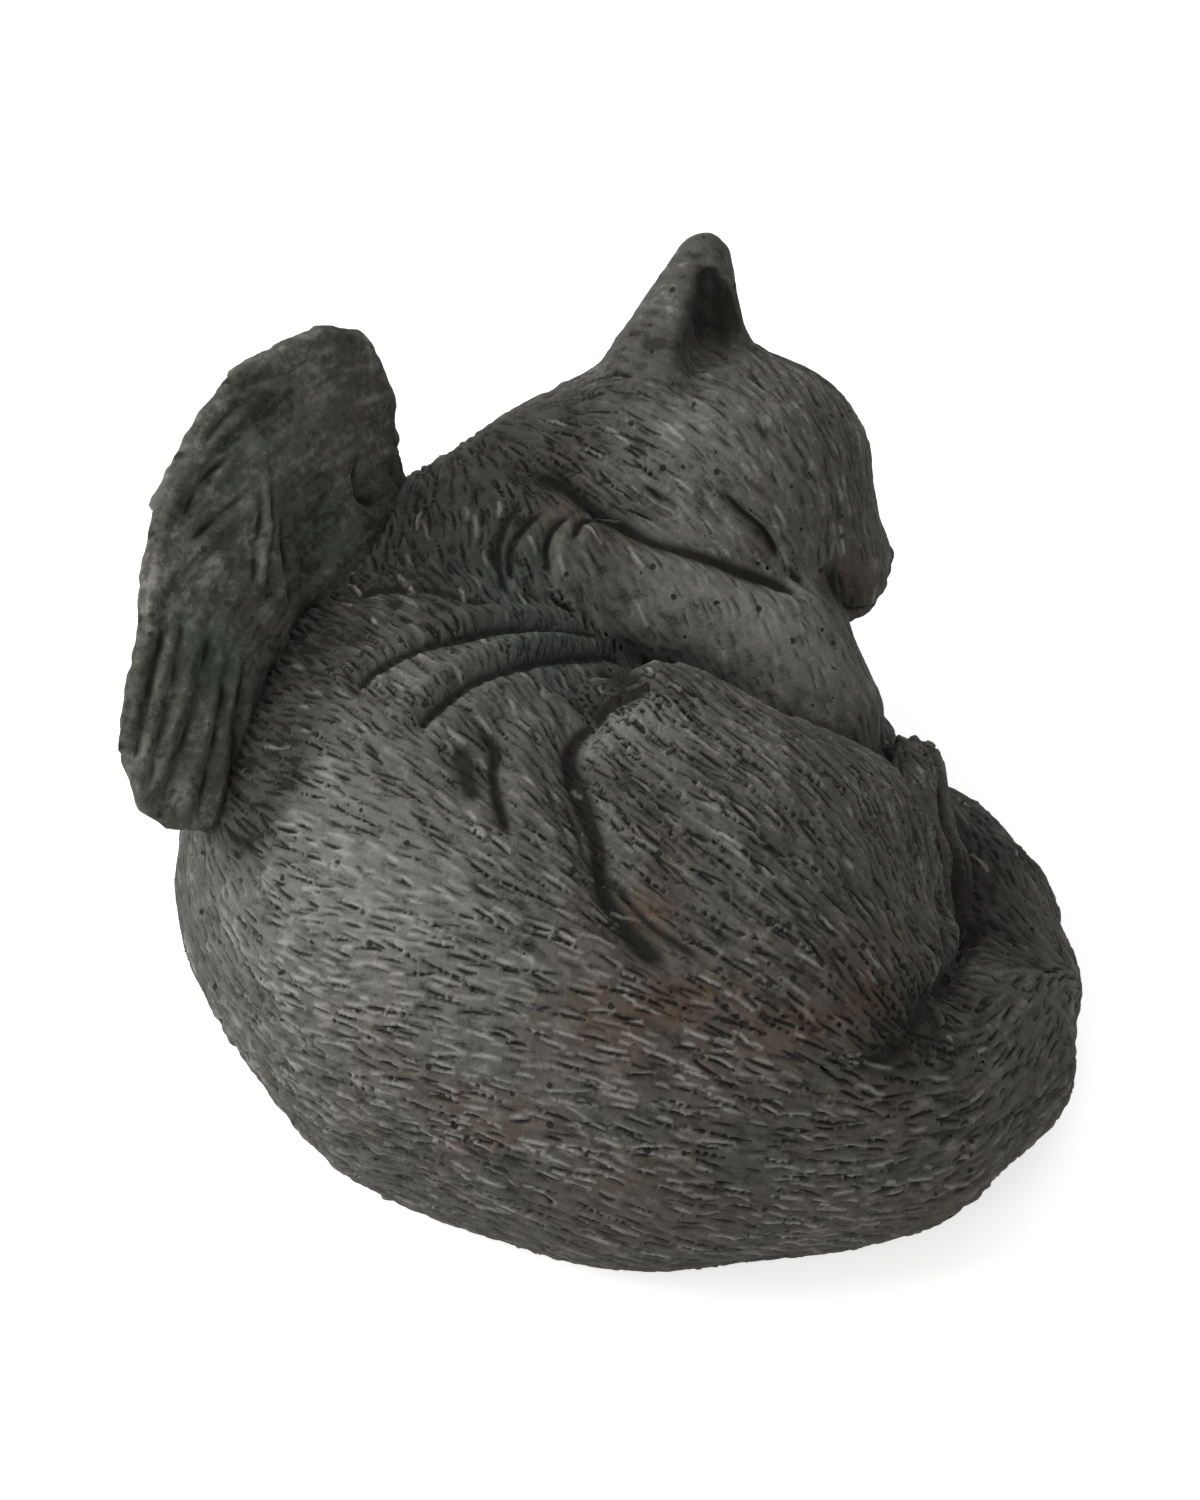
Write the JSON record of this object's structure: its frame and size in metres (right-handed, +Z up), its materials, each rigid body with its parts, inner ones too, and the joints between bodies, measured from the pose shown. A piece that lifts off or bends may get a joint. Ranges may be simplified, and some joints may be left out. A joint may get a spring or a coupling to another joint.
{
  "type": "cat garden statue",
  "caption": "Garden statue of a cat with folded wings, curled up asleep, cast in dark grey stone with a carved fur texture and a flat underside.",
  "frame": {"origin": "on the flat underside, under the middle of the outline seen from above", "axes": "+Z up, +X from the spine to the open side where the nose and the hind feet are, +Y from the rump to the head; units metres"},
  "size_m": [0.2606, 0.2778, 0.176],
  "materials": {
    "cast_stone": "rough",
    "dowel_steel": "brushed"
  },
  "bodies": {
    "root": {"torso": "cast_stone", "head": "cast_stone", "ear_right": "cast_stone", "ear_left": "cast_stone", "foreleg_right": "cast_stone", "foreleg_left": "cast_stone", "haunch_right": "cast_stone", "hind_foot_right": "cast_stone", "hind_leg_left": "cast_stone", "tail": "cast_stone", "wing_right": "cast_stone", "wing_left": "cast_stone", "wing_dowel_right_front": "dowel_steel", "wing_dowel_right_rear": "dowel_steel", "wing_dowel_left_front": "dowel_steel", "wing_dowel_left_rear": "dowel_steel", "neck_dowel": "dowel_steel", "tail_dowel": "dowel_steel"}
  },
  "joints": []
}
